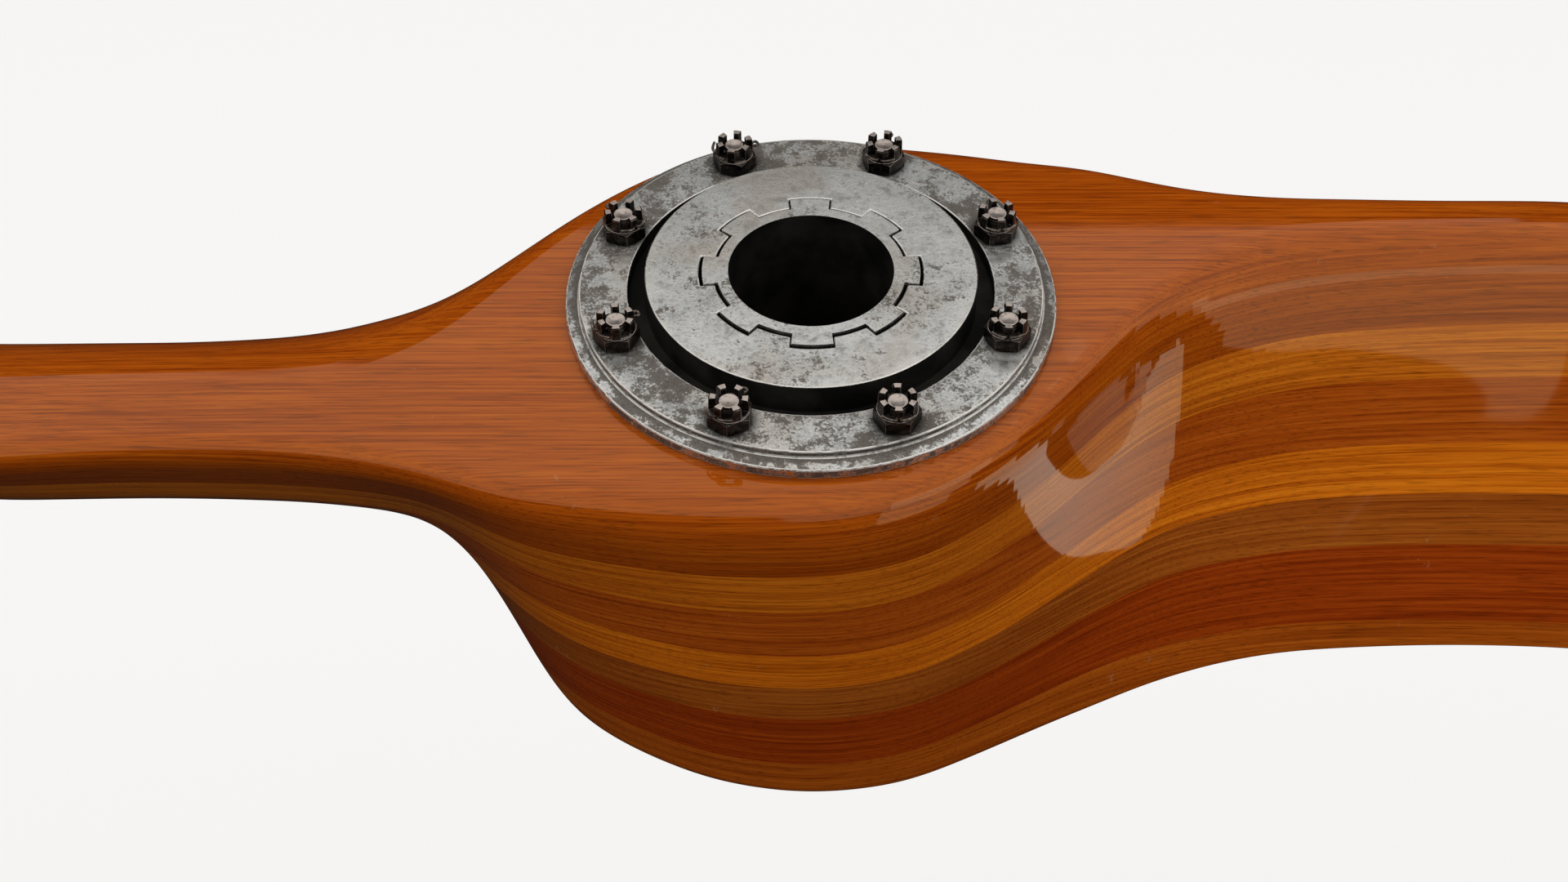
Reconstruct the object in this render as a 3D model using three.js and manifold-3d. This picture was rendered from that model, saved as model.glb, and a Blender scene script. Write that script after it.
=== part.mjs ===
// Two-bladed laminated wooden aircraft propeller with its steel hub.
// Seven glued boards are carved into a boss and two twisted blades. A barrel forged with the rear flange runs
// through the boss, a splined front flange slides onto it, and eight bolts clamp the wood between the flanges.
// Units are millimetres. Z is the shaft axis, +Z towards the nose; the hub's rear seat lies on z = 0.
// The +X blade and the -X blade are the same shape, half a turn apart.
import * as THREE from "three";
import { mergeVertices } from "three/addons/utils/BufferGeometryUtils.js";
import Module from "manifold-3d";

const wasm = await Module();
wasm.setup();

// ---- driving dimensions ----
const TIP_RADIUS = 1250;
const GEOMETRIC_PITCH = 2400; // advance per turn that the blade angle follows outboard
const BOARD_THICKNESS = [21, 28, 19, 19, 25, 20, 30]; // rear board first
const BLOCK_THICKNESS = BOARD_THICKNESS.reduce((sum, t) => sum + t, 0);

const FLANGE_R = 107.5;
const BOLT_CIRCLE_R = 90;
const BOLT_COUNT = 8;
const BOLT_R = 5;
const BORE_R = 36;
const BARREL_R = 42; // the stretch inside the wood
const BOLT_GAP = 0.8; // clearance round a bolt
const WOOD_BORE_GAP = 1; // clearance of the boards' bore round the barrel

const REAR_SEAT_R = 72.5;
const REAR_SEAT_HEIGHT = 9;
const REAR_FLANGE_THICKNESS = 8;
const WOOD_REAR_Z = REAR_SEAT_HEIGHT + REAR_FLANGE_THICKNESS;
const WOOD_FRONT_Z = WOOD_REAR_Z + BLOCK_THICKNESS;

const RIM_THICKNESS = 6; // front flange at its outer rim
const LAND_R = 101.5; // outer radius of the raised bolt land
const LAND_HEIGHT = 9.5;
const GROOVE_OUTER_R = 80;
const GROOVE_INNER_R = 72.5;
const GROOVE_FLOOR = 3;
const FACE_HEIGHT = 17.5; // front flange's middle face

const SPLINE_TEETH = 8;
const TOOTH_TIP_R = 47.5;
const TOOTH_ROOT_R = 41.2;
const SPLINE_TIP_GAP = 1.4;
const SPLINE_FLANK_GAP = 0.35;
const BARREL_PROUD = 0.75; // barrel's nose above the flange's middle face
const BARREL_NOSE_Z = WOOD_FRONT_Z + FACE_HEIGHT + BARREL_PROUD;

const NUT_FLATS = 17.5;
const NUT_HEX_HEIGHT = 7;
const NUT_HEIGHT = 13.5;
const CROWN_R = 8.4;
const CASTLE_SLOT = 4.4;
const HEX_CHAMFER = 1.6;
const BOLT_HEAD_HEIGHT = 6.4;
const PIN_HOLE_R = 1.4;
const PIN_R = 0.95;
const PIN_WIRE_R = 0.65;
const NUT_SEAT_Z = WOOD_FRONT_Z + LAND_HEIGHT;
// How far each nut is turned where its slots meet the bolt's cross hole, in degrees.
const NUT_TURNS = [100, 75, 20, 130, 35, 55, 90, 85];
const BOLT_END_Z = NUT_SEAT_Z + NUT_HEIGHT - 2;
const PIN_Z = NUT_SEAT_Z + NUT_HEX_HEIGHT + 2.2;

const ROUND_SEGMENTS = 36;
const WOOD_BORE_SEGMENTS = 24;
const HOLE_SEGMENTS = 8;
const FASTENER_SEGMENTS = 12;

// ---- materials ----
const steel = new THREE.MeshStandardMaterial({ color: 0xaeb0ab, roughness: 0.42, metalness: 1 });
const oiledSteel = new THREE.MeshStandardMaterial({ color: 0x3a332e, roughness: 0.38, metalness: 1 });
const wireSteel = new THREE.MeshStandardMaterial({ color: 0xb9b0a6, roughness: 0.35, metalness: 1 });
// Board colours from the rear face to the front face.
const BOARD_COLOURS = [0x8f4410, 0x7a2a08, 0x8a5518, 0xb5640c, 0x86390c, 0xa2600f, 0x9a480f];

// ---- solids ----
function solidOf(geometry) {
  const bare = geometry.clone();
  bare.deleteAttribute("normal");
  bare.deleteAttribute("uv");
  const merged = mergeVertices(bare, 1e-4);
  return new wasm.Manifold(
    new wasm.Mesh({
      numProp: 3,
      vertProperties: new Float32Array(merged.attributes.position.array),
      triVerts: new Uint32Array(merged.index.array),
    }),
  );
}

function geometryOf(solid) {
  const mesh = solid.getMesh();
  const geometry = new THREE.BufferGeometry();
  geometry.setAttribute("position", new THREE.BufferAttribute(mesh.vertProperties, 3));
  geometry.setIndex(new THREE.BufferAttribute(mesh.triVerts, 1));
  geometry.computeVertexNormals();
  return geometry;
}

// A solid of revolution about Z from [radius, z] points that start and end on the axis, or close on themselves.
function turned(profile, segments = ROUND_SEGMENTS) {
  const points = profile.map(([r, z]) => new THREE.Vector2(r, z));
  return solidOf(new THREE.LatheGeometry(points, segments).rotateX(Math.PI / 2));
}

function rod(radius, zLow, zHigh, segments = HOLE_SEGMENTS) {
  return turned([[0, zLow], [radius, zLow], [radius, zHigh], [0, zHigh]], segments);
}

function extruded(shape, zLow, zHigh, curveSegments = 3) {
  const geometry = new THREE.ExtrudeGeometry(shape, {
    depth: zHigh - zLow,
    bevelEnabled: false,
    curveSegments,
  });
  return solidOf(geometry.translate(0, 0, zLow));
}

function box(sizeX, sizeY, sizeZ, x, y, z) {
  return solidOf(new THREE.BoxGeometry(sizeX, sizeY, sizeZ).translate(x, y, z));
}

function boltPlaces() {
  return Array.from({ length: BOLT_COUNT }, (_, i) => ((i + 0.5) / BOLT_COUNT) * 2 * Math.PI);
}

function drilled(solid, radius, zLow, zHigh) {
  return boltPlaces().reduce((part, angle) => {
    const x = BOLT_CIRCLE_R * Math.cos(angle);
    const y = BOLT_CIRCLE_R * Math.sin(angle);
    return part.subtract(rod(radius, zLow, zHigh).translate([x, y, 0]));
  }, solid);
}

// ---- the carved wood ----
// A blade section is a rounded four-cornered shape in the Y-Z plane. Its corners, in order: the leading edge's
// front, the front face's crest, the trailing edge, and the leading edge's rear. Each is [y, height above the
// block's rear face]. cuts are how far each corner is rounded back along its two sides.
const BOSS_STATIONS = [
  { x: 0, front: [124, 162], crest: [-124, 162], trail: [-151, 0], rear: [151, 0], cuts: [20, 20, 6, 6] },
  { x: 36, front: [122, 162], crest: [-117, 162], trail: [-147, 0], rear: [146, 0], cuts: [20, 20, 6, 6] },
  { x: 72, front: [117, 162], crest: [-96, 162], trail: [-132, 0], rear: [131, 0], cuts: [18, 18, 6, 6] },
  { x: 108, front: [110, 162], crest: [-61, 162], trail: [-114, 0], rear: [107, 0], cuts: [16, 16, 6, 8] },
  { x: 126, front: [107, 162], crest: [-39, 162], trail: [-106, 0], rear: [85, 2], cuts: [16, 16, 7, 14] },
  { x: 137, front: [103, 162], crest: [-28, 162], trail: [-102, 1], rear: [75, 42], cuts: [16, 16, 7, 14] },
  { x: 149, front: [98, 162], crest: [-16, 162], trail: [-97, 2], rear: [74, 76], cuts: [16, 17, 8, 15] },
  { x: 166, front: [92, 162], crest: [-3, 162], trail: [-91, 3], rear: [73, 96], cuts: [16, 18, 8, 16] },
  { x: 190, front: [86, 162], crest: [8, 162], trail: [-85, 5], rear: [72, 102], cuts: [16, 19, 9, 16] },
  { x: 230, front: [83, 162], crest: [19, 162], trail: [-79, 6], rear: [70, 105], cuts: [16, 20, 10, 16] },
  { x: 288, front: [83, 161], crest: [25, 162], trail: [-77, 7], rear: [69, 106], cuts: [16, 20, 10, 16] },
  { x: 352, front: [85, 159], crest: [26, 161], trail: [-79, 8], rear: [69, 105], cuts: [16, 20, 9, 16] },
];

// Outer blade: radius, chord, thickness, and the crest's place along the chord from the leading edge.
const OUTER_STATIONS = [
  { x: 480, chord: 212, thick: 46, crestAt: 0.22 },
  { x: 640, chord: 226, thick: 35, crestAt: 0.3 },
  { x: 820, chord: 230, thick: 26, crestAt: 0.33 },
  { x: 980, chord: 216, thick: 19, crestAt: 0.34 },
  { x: 1110, chord: 182, thick: 14, crestAt: 0.35 },
  { x: 1190, chord: 138, thick: 10.5, crestAt: 0.36 },
  { x: 1232, chord: 88, thick: 8, crestAt: 0.38 },
  { x: TIP_RADIUS, chord: 30, thick: 6, crestAt: 0.42 },
];
const AXIS_ALONG_CHORD = 0.42; // the pitch axis, from the leading edge
const AXIS_HEIGHT = BLOCK_THICKNESS / 2;

// The corners of an outer section, set at the blade angle that gives the geometric pitch.
function outerStation({ x, chord, thick, crestAt }) {
  const angle = Math.atan2(GEOMETRIC_PITCH, 2 * Math.PI * x);
  const towardsLead = [Math.cos(angle), Math.sin(angle)];
  const towardsFront = [-Math.sin(angle), Math.cos(angle)];
  const at = (back, up) => [
    (AXIS_ALONG_CHORD * chord - back) * towardsLead[0] + up * towardsFront[0],
    AXIS_HEIGHT + (AXIS_ALONG_CHORD * chord - back) * towardsLead[1] + up * towardsFront[1],
  ];
  return {
    x,
    front: at(0, 0.42 * thick),
    crest: at(crestAt * chord, 1.04 * thick),
    trail: at(chord, 0),
    rear: at(0.005 * chord, -0.06 * thick),
    cuts: [0.2 * thick, 0.14 * chord, 0.05 * thick + 1, 0.2 * thick],
  };
}

const STATIONS = [...BOSS_STATIONS, ...OUTER_STATIONS.map(outerStation)];
const CORNERS = ["front", "crest", "trail", "rear"];

// Past the middle of the boss the section is the opposite blade's, mirrored, so its corners change sides.
const OPPOSITE = { front: "crest", crest: "front", trail: "rear", rear: "trail" };
function mirrored(station) {
  const turnedStation = { x: -station.x, cuts: [1, 0, 3, 2].map((i) => station.cuts[i]) };
  for (const corner of CORNERS) {
    const [y, h] = station[OPPOSITE[corner]];
    turnedStation[corner] = [-y, h];
  }
  return turnedStation;
}
const SPAN_STATIONS = [...STATIONS.slice(1).map(mirrored).reverse(), ...STATIONS];

// Slope at each station for a cubic that never overshoots between stations.
function slopesOf(xs, values) {
  const secants = xs.slice(1).map((x, i) => (values[i + 1] - values[i]) / (x - xs[i]));
  return values.map((_, i) => {
    const before = secants[i - 1] ?? secants[i];
    const after = secants[i] ?? secants[i - 1];
    return before * after <= 0 ? 0 : (2 * before * after) / (before + after);
  });
}

// A smooth function of x through the same number of every station.
function alongSpan(read) {
  const xs = SPAN_STATIONS.map((s) => s.x);
  const values = SPAN_STATIONS.map(read);
  const slopes = slopesOf(xs, values);
  return (x) => {
    const k = Math.max(xs.findLastIndex((v, i) => v <= x && i < xs.length - 1), 0);
    const step = xs[k + 1] - xs[k];
    const t = (x - xs[k]) / step;
    const rest = 1 - t;
    return (
      values[k] * (1 + 2 * t) * rest * rest +
      values[k + 1] * (3 - 2 * t) * t * t +
      step * (slopes[k] * t * rest * rest - slopes[k + 1] * t * t * rest)
    );
  };
}

const cornerCurves = CORNERS.map((corner, i) => ({
  y: alongSpan((s) => s[corner][0]),
  h: alongSpan((s) => s[corner][1]),
  cut: alongSpan((s) => s.cuts[i]),
}));

const CORNER_STEPS = 2;

// The section's outline at x, as [y, z] points: each corner is a short parabola, each side a straight run.
function sectionAt(x) {
  const corners = cornerCurves.map((c) => new THREE.Vector2(c.y(x), WOOD_REAR_Z + c.h(x)));
  return corners.flatMap((corner, i) => {
    const cut = cornerCurves[i].cut(x);
    const backed = (towards) => {
      const run = towards.clone().sub(corner);
      return corner.clone().addScaledVector(run, Math.min(cut / run.length(), 0.45));
    };
    const before = corners[(i + 3) % 4];
    const after = corners[(i + 1) % 4];
    const arc = new THREE.QuadraticBezierCurve(backed(before), corner, backed(after));
    return arc.getPoints(CORNER_STEPS);
  });
}

// Where the loft takes its sections: close together round the boss, wider apart along the blades.
function spanPlaces() {
  const half = [];
  for (let x = 0; x < 110; x += 22) half.push(x);
  for (let x = 110; x < 175; x += 16) half.push(x);
  half.push(200, 250, 350);
  for (let x = 500; x <= 1100; x += 150) half.push(x);
  half.push(1190, 1232, TIP_RADIUS);
  return [...half.slice(1).map((x) => -x).reverse(), ...half];
}

function carvedBlank() {
  const rings = spanPlaces().map((x) => sectionAt(x).map((p) => new THREE.Vector3(x, p.x, p.y)));
  const around = rings[0].length;
  const lastRing = (rings.length - 1) * around;
  const faces = [];
  for (let i = 0; i + 1 < rings.length; i++) {
    for (let j = 0; j < around; j++) {
      const a = i * around + j;
      const b = i * around + ((j + 1) % around);
      faces.push(a, b, a + around, b, b + around, a + around);
    }
  }
  for (let j = 1; j + 1 < around; j++) {
    faces.push(0, j + 1, j);
    faces.push(lastRing, lastRing + j, lastRing + j + 1);
  }
  return solidOf(new THREE.BufferGeometry().setFromPoints(rings.flat()).setIndex(faces));
}

function boards() {
  const low = WOOD_REAR_Z - 1;
  const high = WOOD_FRONT_Z + 1;
  const bored = drilled(
    carvedBlank().subtract(rod(BARREL_R + WOOD_BORE_GAP, low, high, WOOD_BORE_SEGMENTS)),
    BOLT_R + BOLT_GAP,
    low,
    high,
  );
  let z = WOOD_REAR_Z;
  return BOARD_THICKNESS.map((thickness, i) => {
    const slab = box(2 * TIP_RADIUS + 20, 500, thickness, 0, 0, z + thickness / 2);
    z += thickness;
    const material = new THREE.MeshStandardMaterial({ color: BOARD_COLOURS[i], roughness: 0.3 });
    return part(`board_${i + 1}`, bored.intersect(slab), material);
  });
}

// ---- the steel hub ----
// Outline of a ring of teeth as wide as the spaces between them, with each flank moved outwards by gap.
function toothedShape(rootR, tipR, gap) {
  const shape = new THREE.Shape();
  const quarter = Math.PI / (2 * SPLINE_TEETH); // half a tooth's angle
  for (let i = 0; i < SPLINE_TEETH; i++) {
    const middle = (i / SPLINE_TEETH) * 2 * Math.PI;
    const tipHalf = quarter + gap / tipR;
    const rootHalf = quarter + gap / rootR;
    const corner = (r, a) => [r * Math.cos(middle + a), r * Math.sin(middle + a)];
    if (i === 0) shape.moveTo(...corner(rootR, -rootHalf));
    else shape.lineTo(...corner(rootR, -rootHalf));
    shape.lineTo(...corner(tipR, -tipHalf));
    shape.absarc(0, 0, tipR, middle - tipHalf, middle + tipHalf, false);
    shape.lineTo(...corner(rootR, rootHalf));
    shape.absarc(0, 0, rootR, middle + rootHalf, middle + 4 * quarter - rootHalf, false);
  }
  return shape;
}

function hubBarrel() {
  const flangeEdge = 1.5;
  const shell = turned([
    [0, 0],
    [REAR_SEAT_R - flangeEdge, 0],
    [REAR_SEAT_R, flangeEdge],
    [REAR_SEAT_R, REAR_SEAT_HEIGHT],
    [FLANGE_R - flangeEdge, REAR_SEAT_HEIGHT],
    [FLANGE_R, REAR_SEAT_HEIGHT + flangeEdge],
    [FLANGE_R, WOOD_REAR_Z],
    [BARREL_R, WOOD_REAR_Z],
    [BARREL_R, WOOD_FRONT_Z - 1],
    [0, WOOD_FRONT_Z - 1],
  ]);
  const nose = extruded(toothedShape(TOOTH_ROOT_R, TOOTH_TIP_R, 0), WOOD_FRONT_Z + 0.3, BARREL_NOSE_Z);
  const neck = rod(TOOTH_ROOT_R - 1.2, WOOD_FRONT_Z - 2, WOOD_FRONT_Z + 1, ROUND_SEGMENTS);
  const bore = rod(BORE_R, -1, BARREL_NOSE_Z + 1, ROUND_SEGMENTS);
  const solid = drilled(shell.add(neck).add(nose).subtract(bore), BOLT_R + BOLT_GAP, -1, WOOD_REAR_Z + 1);
  return part("hub_barrel", solid, steel);
}

function frontFlange() {
  const base = WOOD_FRONT_Z;
  const lip = 1;
  const plate = turned([
    [0, base],
    [FLANGE_R, base],
    [FLANGE_R, base + RIM_THICKNESS - lip],
    [FLANGE_R - lip, base + RIM_THICKNESS],
    [LAND_R, base + RIM_THICKNESS],
    [LAND_R, base + LAND_HEIGHT - lip],
    [LAND_R - lip, base + LAND_HEIGHT],
    [GROOVE_OUTER_R, base + LAND_HEIGHT],
    [GROOVE_OUTER_R, base + GROOVE_FLOOR],
    [GROOVE_INNER_R, base + GROOVE_FLOOR],
    [GROOVE_INNER_R, base + FACE_HEIGHT - lip],
    [GROOVE_INNER_R - lip, base + FACE_HEIGHT],
    [0, base + FACE_HEIGHT],
  ]);
  const slots = toothedShape(
    TOOTH_ROOT_R + SPLINE_TIP_GAP,
    TOOTH_TIP_R + SPLINE_TIP_GAP,
    SPLINE_FLANK_GAP,
  );
  const socket = extruded(slots, base - 1, base + FACE_HEIGHT + 1);
  const solid = drilled(plate.subtract(socket), BOLT_R + BOLT_GAP, base - 1, base + FACE_HEIGHT);
  return part("front_flange", solid, steel);
}

// ---- fasteners, each built on the axis and set at its place on the bolt circle ----
function polygon(sides, cornerR) {
  const corners = Array.from({ length: sides }, (_, i) => {
    const angle = (i / sides) * 2 * Math.PI;
    return new THREE.Vector2(cornerR * Math.cos(angle), cornerR * Math.sin(angle));
  });
  return new THREE.Shape(corners);
}

function hexPrism(flats, zLow, zHigh) {
  return extruded(polygon(6, flats / Math.sqrt(3)), zLow, zHigh);
}

// A hexagon with its corners turned off at one face: the high one, or the low one.
function chamferedHex(flats, zLow, zHigh, chamferHigh) {
  const outerR = flats / Math.sqrt(3) + 1;
  const faceR = flats / 2 - 0.2;
  const envelope = chamferHigh
    ? [[0, zLow], [outerR, zLow], [outerR, zHigh - HEX_CHAMFER], [faceR, zHigh], [0, zHigh]]
    : [[0, zLow], [faceR, zLow], [outerR, zLow + HEX_CHAMFER], [outerR, zHigh], [0, zHigh]];
  return hexPrism(flats, zLow, zHigh).intersect(turned(envelope, FASTENER_SEGMENTS));
}

function castleNut() {
  const crown = turned(
    [
      [0, NUT_SEAT_Z + 1],
      [CROWN_R, NUT_SEAT_Z + 1],
      [CROWN_R, NUT_SEAT_Z + NUT_HEIGHT - 1],
      [CROWN_R - 1, NUT_SEAT_Z + NUT_HEIGHT],
      [0, NUT_SEAT_Z + NUT_HEIGHT],
    ],
    FASTENER_SEGMENTS,
  );
  const hexTop = NUT_SEAT_Z + NUT_HEX_HEIGHT;
  let nut = chamferedHex(NUT_FLATS, NUT_SEAT_Z, hexTop, true).add(crown);
  for (let i = 0; i < 3; i++) {
    const slot = box(3 * CROWN_R, CASTLE_SLOT, NUT_HEIGHT, 0, 0, hexTop + NUT_HEIGHT / 2);
    nut = nut.subtract(slot.rotate([0, 0, 60 * i]));
  }
  return nut.subtract(rod(BOLT_R + BOLT_GAP, NUT_SEAT_Z - 1, NUT_SEAT_Z + NUT_HEIGHT + 1));
}

function hubBolt() {
  const headTop = REAR_SEAT_HEIGHT;
  const end = 0.8;
  const shank = turned(
    [
      [0, headTop - 1],
      [BOLT_R, headTop - 1],
      [BOLT_R, BOLT_END_Z - end],
      [BOLT_R - end, BOLT_END_Z],
      [0, BOLT_END_Z],
    ],
    HOLE_SEGMENTS,
  );
  const crossHole = rod(PIN_HOLE_R, -10, 10, 6).rotate([0, 90, 0]).translate([0, 0, PIN_Z]);
  const head = chamferedHex(NUT_FLATS, headTop - BOLT_HEAD_HEIGHT, headTop, false);
  return head.add(shank).subtract(crossHole);
}

// A square wire bent smoothly through a few points.
function wire(points, radius) {
  const extrudePath = new THREE.CatmullRomCurve3(points.map((p) => new THREE.Vector3(...p)));
  const steps = points.length + 1;
  return solidOf(new THREE.ExtrudeGeometry(polygon(4, radius), { steps, extrudePath }));
}

// A split pin through the bolt's cross hole: an eye on one side, and two legs bent apart round the crown.
function splitPin() {
  const shaftEnd = CROWN_R + 0.6;
  const shaft = rod(PIN_R, -shaftEnd, shaftEnd, 6).rotate([0, 90, 0]).translate([0, 0, PIN_Z]);
  const eye = wire(
    [
      [shaftEnd - 0.3, 0.4, PIN_Z],
      [shaftEnd + 1, 1.5, PIN_Z],
      [shaftEnd + 2.4, 0, PIN_Z],
      [shaftEnd + 1, -1.5, PIN_Z],
      [shaftEnd - 0.3, -0.4, PIN_Z],
    ],
    PIN_WIRE_R,
  );
  const leg = (side) =>
    wire(
      [
        [-shaftEnd + 0.6, 0.3 * side, PIN_Z],
        [-shaftEnd - 0.5, 1.4 * side, PIN_Z],
        [-shaftEnd + 0.4, 4.2 * side, PIN_Z],
        [-shaftEnd + 2.6, 6.6 * side, PIN_Z],
      ],
      PIN_WIRE_R,
    );
  return shaft.add(eye).add(leg(1)).add(leg(-1));
}

// ---- assembly ----
function part(name, solid, material) {
  const mesh = new THREE.Mesh(geometryOf(solid), material);
  mesh.name = name;
  return mesh;
}

function fastenerSets() {
  const kinds = [
    { name: "hub_bolt", solid: hubBolt(), material: oiledSteel },
    { name: "castle_nut", solid: castleNut(), material: oiledSteel },
    { name: "split_pin", solid: splitPin(), material: wireSteel },
  ];
  return boltPlaces().flatMap((angle, i) => {
    const station = new THREE.Group();
    station.position.set(BOLT_CIRCLE_R * Math.cos(angle), BOLT_CIRCLE_R * Math.sin(angle), 0);
    station.rotation.z = NUT_TURNS[i] * (Math.PI / 180);
    station.add(...kinds.map((k) => part(`${k.name}_${i + 1}`, k.solid, k.material)));
    return station;
  });
}

const propeller = new THREE.Group();
propeller.name = "wooden_propeller";
propeller.add(...boards(), hubBarrel(), frontFlange(), ...fastenerSets());

export default propeller;
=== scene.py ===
"""Looks of a laminated wooden aircraft propeller with its splined steel hub.

Heights, the span and the flange's radius are read from the frame. The script's other sizes are in
millimetres, like a shop drawing, while meshes, lights and the camera are set in metres. +Z is the shaft
axis towards the nose and +X runs along one blade.
"""

import math

import bmesh
import bpy
import numpy as np
from mathutils import Matrix, Quaternion, Vector


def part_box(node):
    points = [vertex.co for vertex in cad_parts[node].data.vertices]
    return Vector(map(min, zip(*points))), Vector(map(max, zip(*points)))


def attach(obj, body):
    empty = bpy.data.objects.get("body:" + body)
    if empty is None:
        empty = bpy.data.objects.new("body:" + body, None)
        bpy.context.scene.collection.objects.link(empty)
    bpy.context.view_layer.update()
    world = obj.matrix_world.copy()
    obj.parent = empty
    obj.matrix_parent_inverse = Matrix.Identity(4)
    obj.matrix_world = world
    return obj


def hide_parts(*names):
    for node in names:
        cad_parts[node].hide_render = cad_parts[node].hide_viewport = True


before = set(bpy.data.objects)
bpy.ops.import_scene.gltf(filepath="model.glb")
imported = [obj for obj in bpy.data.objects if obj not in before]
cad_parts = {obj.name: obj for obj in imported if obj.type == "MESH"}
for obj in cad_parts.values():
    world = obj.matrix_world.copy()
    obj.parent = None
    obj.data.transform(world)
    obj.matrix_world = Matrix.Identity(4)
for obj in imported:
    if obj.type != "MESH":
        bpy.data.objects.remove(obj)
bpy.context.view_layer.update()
MM = 0.001


def low(node):
    return [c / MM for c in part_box(node)[0]]


def high(node):
    return [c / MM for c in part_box(node)[1]]


# ---- measures read from the frame ----
BOARDS = [f"board_{i}" for i in range(1, 8)]
WOOD_REAR_Z = low(BOARDS[0])[2]
WOOD_FRONT_Z = high(BOARDS[-1])[2]
BLOCK = WOOD_FRONT_Z - WOOD_REAR_Z
TIP_R = high("board_5")[0]
FLANGE_R = high("front_flange")[0]
FACE_Z = high("front_flange")[2]
NOSE_Z = high("hub_barrel")[2]
NUT_SEAT_Z = low("castle_nut_1")[2]
NUT_TOP_Z = high("castle_nut_1")[2]
BOLT_LOW_Z = low("hub_bolt_1")[2]
BOLT_END_Z = high("hub_bolt_1")[2]
PIN_Z = (low("split_pin_1")[2] + high("split_pin_1")[2]) / 2

# ---- measures of the shop drawing ----
BOLT_CIRCLE_R = 90
BOLT_COUNT = 8
BOLT_R = 5
HOLE_R = 5.8
BORE_R = 36
BARREL_R = 42
WOOD_BORE_R = 43
REAR_SEAT_R = 72.5
REAR_SEAT_HEIGHT = 9
RIM_THICKNESS = 6
RIM_INNER_RISE = 0.4
RIM_OUTER_DROP = 1.2
LAND_R = 101.5
GROOVE_OUTER_R = 80
GROOVE_INNER_R = 72.5
GROOVE_FLOOR = 3
TEETH = 8
TOOTH_TIP_R = 47.5
TOOTH_ROOT_R = 41.2
SPLINE_TIP_GAP = 1.4
SPLINE_FLANK_GAP = 0.35
SPLINE_RELIEF = 1.2
NUT_FLATS = 17.5
NUT_HEX_HEIGHT = 7
CROWN_R = 8.4
CROWN_FLOOR = 0.6
PRONG_HALF_ANGLE = 12.5
NUT_TURNS = [100, 75, 20, 130, 35, 55, 90, 85]
PIN_WIRE_R = 0.65
THREAD_PITCH = 1.5
THREAD_DEPTH = 0.55
OVERSHOOT = 5  # how far a cutter runs on past what it cuts
HAIR = 0.001  # a length too small to matter


# ---- mesh helpers ----
def new_object(name, mesh):
    obj = bpy.data.objects.new(name, mesh)
    bpy.context.scene.collection.objects.link(obj)
    return obj


def mesh_of(name, verts_mm, faces):
    mesh = bpy.data.meshes.new(name)
    mesh.from_pydata((np.asarray(verts_mm, float) * MM).tolist(), [], [list(map(int, f)) for f in faces])
    mesh.update()
    return mesh


def grid_faces(rows, around, closed):
    """Quads between each ring of points and the next; closed also joins the last ring to the first."""
    faces = []
    for i in range(rows if closed else rows - 1):
        here = i * around
        there = ((i + 1) % rows) * around
        for j in range(around):
            k = (j + 1) % around
            faces.append((here + j, here + k, there + k, there + j))
    return faces


def ring(radii, heights, angles):
    """One ring of points: a radius and a height at each angle, or the same ones all round."""
    radii = np.broadcast_to(radii, angles.shape)
    heights = np.broadcast_to(heights, angles.shape)
    return np.stack([radii * np.cos(angles), radii * np.sin(angles), heights], axis=1)


def lathe_mesh(name, rings, closed):
    """Rings of points to a mesh; an open one gets a disc at each end."""
    around = len(rings[0])
    faces = grid_faces(len(rings), around, closed)
    if not closed:
        faces.append(tuple(around - 1 - i for i in range(around)))
        faces.append(tuple((len(rings) - 1) * around + i for i in range(around)))
    return mesh_of(name, np.concatenate(rings), faces)


def apply_modifiers(obj):
    graph = bpy.context.evaluated_depsgraph_get()
    evaluated = obj.evaluated_get(graph)
    done = bpy.data.meshes.new_from_object(evaluated, preserve_all_data_layers=True, depsgraph=graph)
    obj.modifiers.clear()
    obj.data = done


def cut(obj, cutter_mesh):
    cutter = new_object("cutter", cutter_mesh)
    boolean = obj.modifiers.new("cut", "BOOLEAN")
    boolean.operation = "DIFFERENCE"
    boolean.solver = "EXACT"
    boolean.object = cutter
    apply_modifiers(obj)
    bpy.data.objects.remove(cutter)


def rods_mesh(rods, segments):
    """A mesh of upright rods, each (x, y, radius, low z, high z)."""
    angles = np.linspace(0, 2 * math.pi, segments, endpoint=False)
    verts, faces = [], []
    for x, y, radius, z_low, z_high in rods:
        first = len(verts) * segments
        for z in (z_low, z_high):
            verts.append(ring(radius, z, angles) + np.array([x, y, 0]))
        faces += [tuple(first + i for i in quad) for quad in grid_faces(2, segments, False)]
        faces.append(tuple(first + segments - 1 - i for i in range(segments)))
        faces.append(tuple(first + segments + i for i in range(segments)))
    return mesh_of("rods", np.concatenate(verts), faces)


def bolt_angles():
    return [(i + 0.5) / BOLT_COUNT * 2 * math.pi for i in range(BOLT_COUNT)]


def bolt_rods(radius, z_low, z_high):
    return [
        (BOLT_CIRCLE_R * math.cos(a), BOLT_CIRCLE_R * math.sin(a), radius, z_low, z_high)
        for a in bolt_angles()
    ]


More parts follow.
